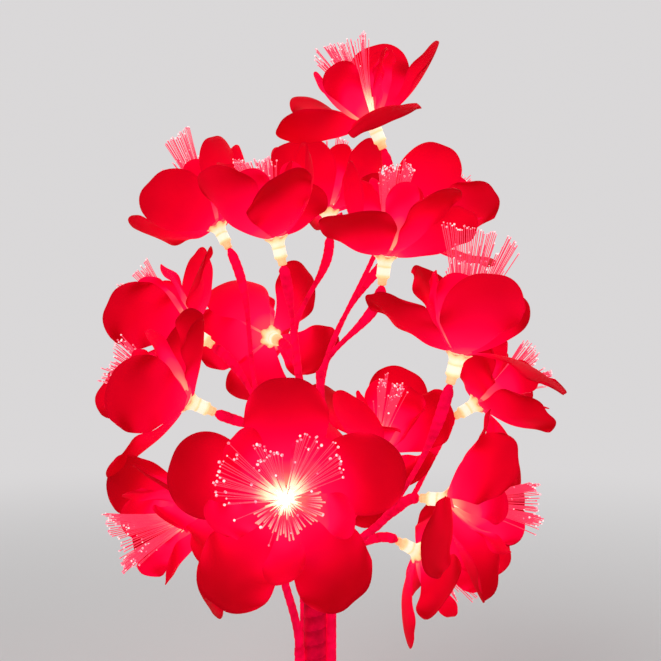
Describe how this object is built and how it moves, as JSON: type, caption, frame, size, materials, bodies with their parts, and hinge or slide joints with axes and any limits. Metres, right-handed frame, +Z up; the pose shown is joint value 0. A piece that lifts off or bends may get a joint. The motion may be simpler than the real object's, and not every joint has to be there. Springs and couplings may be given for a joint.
{
  "type": "led tree lamp",
  "caption": "Table lamp shaped as a small flowering tree: round weighted base with a push button, taped trunk, bendable branches and lit fabric blossoms with fibre tufts.",
  "frame": {"origin": "centre of the foot's bottom face, on the table", "axes": "+Z up along the trunk, the viewer's side towards -Y, +X to the viewer's right"},
  "size_m": [0.2882, 0.2744, 0.4832],
  "materials": {
    "foot_rubber": "fine foam",
    "plate_steel": "plain dark paint",
    "screw_steel": "zinc plated",
    "ballast_iron": "as cast",
    "base_plastic": "fine moulded texture",
    "board_laminate": "lacquered board",
    "switch_plastic": "moulded",
    "button_plastic": "polished",
    "inlet_plastic": "moulded",
    "trunk_tape": "crepe tape in an overlapping spiral",
    "stem_tape": "crepe tape over wires",
    "holder_plastic": "translucent, lit from inside",
    "petal_fabric": "stiffened translucent organza, lit from behind",
    "fibre_plastic": "clear optical fibre with glowing tips"
  },
  "bodies": {
    "base": {"foot_pad": "foot_rubber", "base_plate": "plate_steel", "base_screws": "screw_steel", "ballast_ring": "ballast_iron", "base_shell": "base_plastic", "circuit_board": "board_laminate", "power_switch": "switch_plastic", "power_inlet": "inlet_plastic", "trunk_nut": "screw_steel", "trunk": "trunk_tape", "root_binding": "trunk_tape", "stem_roots": "stem_tape"},
    "power_button": {"power_button": "button_plastic"},
    "branch_left": {"stem_left": "stem_tape", "lamp_holders_left": "holder_plastic", "blossom_01": "petal_fabric", "light_tuft_01": "fibre_plastic", "blossom_02": "petal_fabric", "light_tuft_02": "fibre_plastic", "blossom_03": "petal_fabric", "light_tuft_03": "fibre_plastic"},
    "branch_middle": {"stem_middle": "stem_tape", "lamp_holders_middle": "holder_plastic", "blossom_04": "petal_fabric", "light_tuft_04": "fibre_plastic", "blossom_05": "petal_fabric", "light_tuft_05": "fibre_plastic", "blossom_06": "petal_fabric", "light_tuft_06": "fibre_plastic"},
    "branch_top": {"stem_top": "stem_tape", "lamp_holders_top": "holder_plastic", "blossom_07": "petal_fabric", "light_tuft_07": "fibre_plastic", "blossom_08": "petal_fabric", "light_tuft_08": "fibre_plastic", "blossom_09": "petal_fabric", "light_tuft_09": "fibre_plastic"},
    "branch_right": {"stem_right": "stem_tape", "lamp_holders_right": "holder_plastic", "blossom_10": "petal_fabric", "light_tuft_10": "fibre_plastic", "blossom_11": "petal_fabric", "light_tuft_11": "fibre_plastic", "blossom_12": "petal_fabric", "light_tuft_12": "fibre_plastic"},
    "branch_back": {"stem_back": "stem_tape", "lamp_holders_back": "holder_plastic", "blossom_13": "petal_fabric", "light_tuft_13": "fibre_plastic", "blossom_14": "petal_fabric", "light_tuft_14": "fibre_plastic", "blossom_15": "petal_fabric", "light_tuft_15": "fibre_plastic"},
    "branch_front": {"stem_front": "stem_tape", "lamp_holders_front": "holder_plastic", "blossom_16": "petal_fabric", "light_tuft_16": "fibre_plastic", "blossom_17": "petal_fabric", "light_tuft_17": "fibre_plastic"}
  },
  "joints": [
    {"name": "button_press", "type": "slide", "parent": "base", "child": "power_button", "axis": [0, 0, -1], "range_m": [0, 0.0015], "stiffness_N_per_m": 600, "springref_m": -0.001},
    {"name": "bend_left", "type": "hinge", "parent": "base", "child": "branch_left", "pos_m": [-0.00643, 0.00766, 0.15], "axis": [-0.1736, -0.9848, 0], "range_deg": [-3, 6]},
    {"name": "bend_middle", "type": "hinge", "parent": "base", "child": "branch_middle", "pos_m": [0, 0, 0.165], "axis": [-1, 0, 0], "range_deg": [-3, 6]},
    {"name": "bend_top", "type": "hinge", "parent": "base", "child": "branch_top", "pos_m": [0.00719, 0.00695, 0.16], "axis": [-0.1736, 0.9848, 0], "range_deg": [-3, 6]},
    {"name": "bend_right", "type": "hinge", "parent": "base", "child": "branch_right", "pos_m": [0.01, 0, 0.15], "axis": [0.342, 0.9397, 0], "range_deg": [-3, 6]},
    {"name": "bend_back", "type": "hinge", "parent": "base", "child": "branch_back", "pos_m": [0.00035, 0.00999, 0.14], "axis": [-0.9848, 0.1736, 0], "range_deg": [-3, 6]},
    {"name": "bend_front", "type": "hinge", "parent": "base", "child": "branch_front", "pos_m": [-0.00906, -0.00423, 0.108], "axis": [0.9397, -0.342, 0], "range_deg": [-3, 6]}
  ]
}
